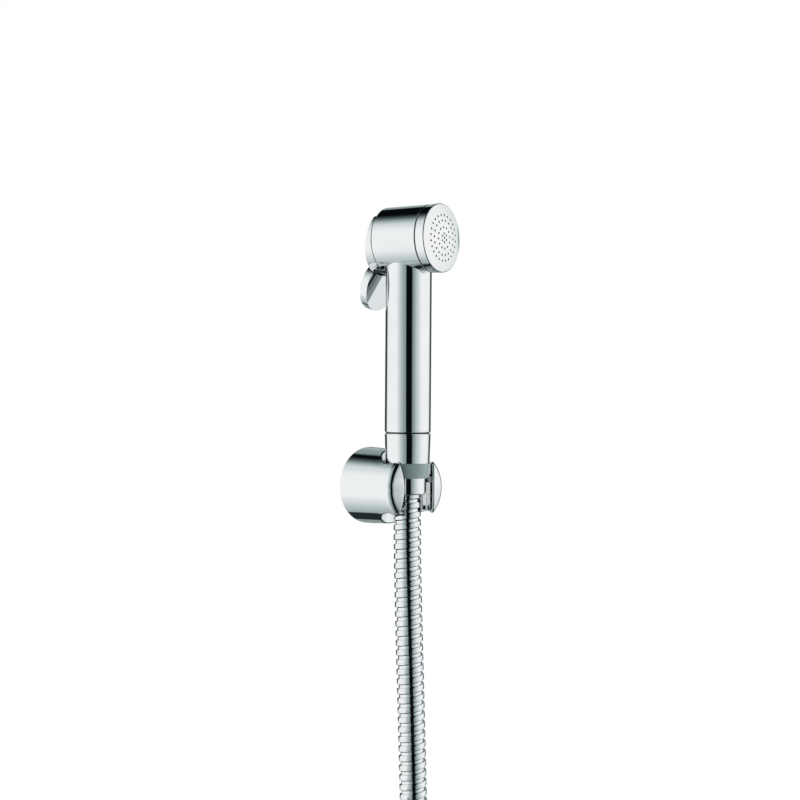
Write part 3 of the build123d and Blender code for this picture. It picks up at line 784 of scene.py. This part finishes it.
print("chrome on", sum(len(names) for _, names in plated), "pieces")

# %% [markdown]
# The strip of the hose is plated too, but it rubs against itself with each bend. It is hooked into
# itself under the lower edge of each rib. The groove there gets painted shade, a dark, dull line, and
# the foot of each rib gets a lighter painted shade. Noise that is stretched along the winding draws the
# faint lines of the rolled strip.

# %% The finish of the hose
UNDER_RIB_SHADE_STARTS, UNDER_RIB_SHADE_ENDS = (0.592, 0.612), (0.695, 0.675)
LIP_STARTS, LIP_ENDS = (0.985, 0.995), (0.012, 0.004)
# Colours of painted shade: dark in the groove under each rib, lighter at the foot of the next rib.
STRIP_GROOVE_SHADE = (0.05, 0.055, 0.055, 1.0)
STRIP_LIP_SHADE = (0.35, 0.37, 0.37, 1.0)


def hose_finish():
    """The part of V after the point finds the groove under each rib, which gets a dark painted shade,
    and the thin lip where the next rib starts, which gets a lighter painted shade."""
    material, start = new_material("hose_chrome")
    winding = start.node("ShaderNodeUVMap", {"uv_map": "winding"})
    turns = start.node("ShaderNodeSeparateXYZ", output=1, Vector=winding)
    across = start.sum_of("FRACT", turns, 0.0)
    shade_under_rib = across.between(*UNDER_RIB_SHADE_STARTS) * across.between(*UNDER_RIB_SHADE_ENDS)
    lip_shade = across.between(*LIP_STARTS) + across.between(*LIP_ENDS)
    rolled = start.node("ShaderNodeMapping", Vector=winding, Scale=(2.0, 22.0, 1.0))
    lines = start.node("ShaderNodeTexNoise", Vector=rolled, Scale=1.0, Detail=2.0)
    place = start.node("ShaderNodeTexCoord", output=3)
    clouds = start.node("ShaderNodeTexNoise", Vector=place, Scale=150.0, Detail=2.0)
    plated = lines.ramp([(0.3, (0.82, 0.83, 0.83)), (0.7, (0.9, 0.905, 0.905))])
    # The groove under each rib and the foot of each rib are painted darker as shade.
    shaded = plated.mix(STRIP_GROOVE_SHADE, shade_under_rib).mix(STRIP_LIP_SHADE, lip_shade)
    roughness = 0.06 + clouds.between(0.3, 0.8) * 0.05 + shade_under_rib * 0.25
    height = lines * 0.3 + clouds
    bump = start.node("ShaderNodeBump", Strength=0.12, Distance=0.0001, Height=height)
    strip = start.node(
        "ShaderNodeBsdfPrincipled", Base_Color=shaded, Metallic=1.0, Roughness=roughness, Normal=bump
    )
    start.node("ShaderNodeOutputMaterial", Surface=strip)
    return material


hose.data.materials.append(hose_finish())
print("the hose has its finish")

# %% [markdown]
# The other parts are moulded or turned, and mostly hidden. Moulded plastic has a fine
# grain from its mould and no mirror at all. Brass and spring wire are metal as the tool
# left it, with lines round it. Rubber is dark and soft.

# %% Plastics, brass, steel and rubber


def moulded(name, dark, light, roughness, grain=0.15, grain_scale=1800.0):
    """Plastic with a mould grain: two close tones and a fine bump."""
    material, start = new_material(name)
    place = start.node("ShaderNodeTexCoord", output=3)
    flow = start.node("ShaderNodeTexNoise", Vector=place, Scale=90.0, Detail=3.0)
    grains = start.node("ShaderNodeTexNoise", Vector=place, Scale=grain_scale, Detail=2.0)
    colour = flow.ramp([(0.3, dark), (0.7, light)])
    bump = start.node("ShaderNodeBump", Strength=grain, Distance=0.00005, Height=grains)
    rough = roughness + (grains - 0.5) * 0.1
    skin = start.node("ShaderNodeBsdfPrincipled", Base_Color=colour, Roughness=rough, Normal=bump)
    start.node("ShaderNodeOutputMaterial", Surface=skin)
    return material


def as_turned(name, tone, roughness):
    """Bare metal with the fine lines of a tool, drawn by noise that is squeezed along Z."""
    material, start = new_material(name)
    place = start.node("ShaderNodeTexCoord", output=3)
    squeezed = start.node("ShaderNodeMapping", Vector=place, Scale=(60.0, 60.0, 6000.0))
    lines = start.node("ShaderNodeTexNoise", Vector=squeezed, Scale=1.0, Detail=3.0)
    deep = tuple(0.8 * part for part in tone)
    colour = lines.ramp([(0.3, deep), (0.7, tone)])
    rough = roughness + (lines - 0.5) * 0.15
    bump = start.node("ShaderNodeBump", Strength=0.2, Distance=0.00005, Height=lines)
    metal = start.node(
        "ShaderNodeBsdfPrincipled", Base_Color=colour, Metallic=1.0, Roughness=rough, Normal=bump
    )
    start.node("ShaderNodeOutputMaterial", Surface=metal)
    return material


SLOT_FINISHES = {
    "grey_plastic": moulded("grey_plastic", (0.164, 0.203, 0.2), (0.19, 0.229, 0.226), 0.55),
    "inner_plastic": moulded("inner_plastic", (0.68, 0.68, 0.66), (0.74, 0.74, 0.72), 0.4),
    "tie_plastic": moulded("tie_plastic", (0.02, 0.02, 0.02), (0.035, 0.035, 0.035), 0.45),
    "rubber_seal": moulded("rubber_seal", (0.015, 0.015, 0.015), (0.03, 0.03, 0.03), 0.7),
    "inner_brass": as_turned("inner_brass", (0.72, 0.56, 0.28), 0.3),
    "spring_steel": as_turned("spring_steel", (0.62, 0.62, 0.61), 0.28),
}
for node in nodes.values():
    for slot in node.material_slots:
        if slot.material and slot.material.name.split(".")[0] in SLOT_FINISHES:
            slot.material = SLOT_FINISHES[slot.material.name.split(".")[0]]
print("other finishes:", sorted(SLOT_FINISHES))

# %% [markdown]
# The spring behind the valve shortens when the lever is pressed. Only a piece of the scene
# can be squashed as a joint moves, so the spring is wound here again, on the same line as
# in the solid model. Its back end stays against the bush.

# %% The valve spring
SPRING_START = -0.00385      # middle of the wire at the back end, ahead of the handle's axis
SPRING_LENGTH = 0.0063
SPRING_RADIUS = 0.0043
SPRING_WIRE = 0.00035
SPRING_TURNS = 4


def wound_wire(steps, sides):
    """Point = axis(t) + R e + w (cos b * e + sin b * n), where e turns round the axis with
    t, n is square to e and to the wire, and w is 0 at both ends, which closes them."""
    ahead = np.array(AHEAD)
    upright = np.array([0.0, 0.0, 1.0])
    t = np.clip(np.arange(-1, steps + 2) / steps, 0.0, 1.0)[:, None]
    turn = 2 * np.pi * SPRING_TURNS * t
    spoke = np.cos(turn) * np.cross(upright, ahead) + np.sin(turn) * upright
    onward = np.cross(ahead, spoke) * (2 * np.pi * SPRING_TURNS * SPRING_RADIUS) + ahead * SPRING_LENGTH
    across = np.cross(spoke, onward / np.linalg.norm(onward, axis=1)[:, None])
    line = np.array(HEAD_CENTRE) + ahead * (SPRING_START + SPRING_LENGTH * t) + spoke * SPRING_RADIUS
    around = np.arange(sides)[:, None] * 2 * np.pi / sides
    ring = np.cos(around) * spoke[:, None, :] + np.sin(around) * across[:, None, :]
    wire = np.full((len(t), 1, 1), SPRING_WIRE)
    wire[[0, -1]] = 0.0
    points = line[:, None, :] + ring * wire
    i, j = np.meshgrid(np.arange(len(t) - 1), np.arange(sides), indexing="ij")
    here, beside = i * sides + j, i * sides + (j + 1) % sides
    faces = np.stack([here, here + sides, beside + sides, beside], axis=-1)
    return points.reshape(-1, 3), faces.reshape(-1, 4)


spring = surface("wound_spring", *wound_wire(steps=192, sides=12))
close_ends(spring)
spring.data.materials.append(SLOT_FINISHES["spring_steel"])
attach(spring, "set")
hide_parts("valve_spring")
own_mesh(spring)

# %% [markdown]
# Before the end, the scene is brought up to date.

# %% The end
bpy.context.view_layer.update()
